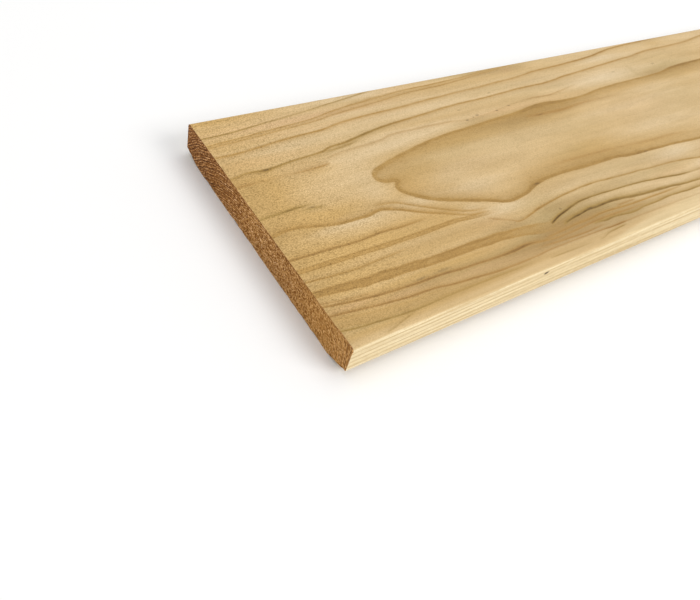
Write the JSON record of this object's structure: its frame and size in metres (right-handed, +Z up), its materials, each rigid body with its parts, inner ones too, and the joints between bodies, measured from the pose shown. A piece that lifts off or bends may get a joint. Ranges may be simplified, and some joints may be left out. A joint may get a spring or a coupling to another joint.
{
  "type": "planed pine board",
  "caption": "Flat planed pine board with a smooth top face, eased upper arrises, bevelled lower arrises and square sawn ends, for trim, cladding, shelving and general building work.",
  "frame": {"origin": "middle of the underside, the face that the board lies on", "axes": "+X along the length, away from the end with the cathedral grain; +Y across the width; +Z up through the thickness"},
  "size_m": [1.8, 0.145, 0.018],
  "materials": {
    "pine": "planed, bare"
  },
  "bodies": {
    "root": {"board": "pine"}
  },
  "joints": []
}
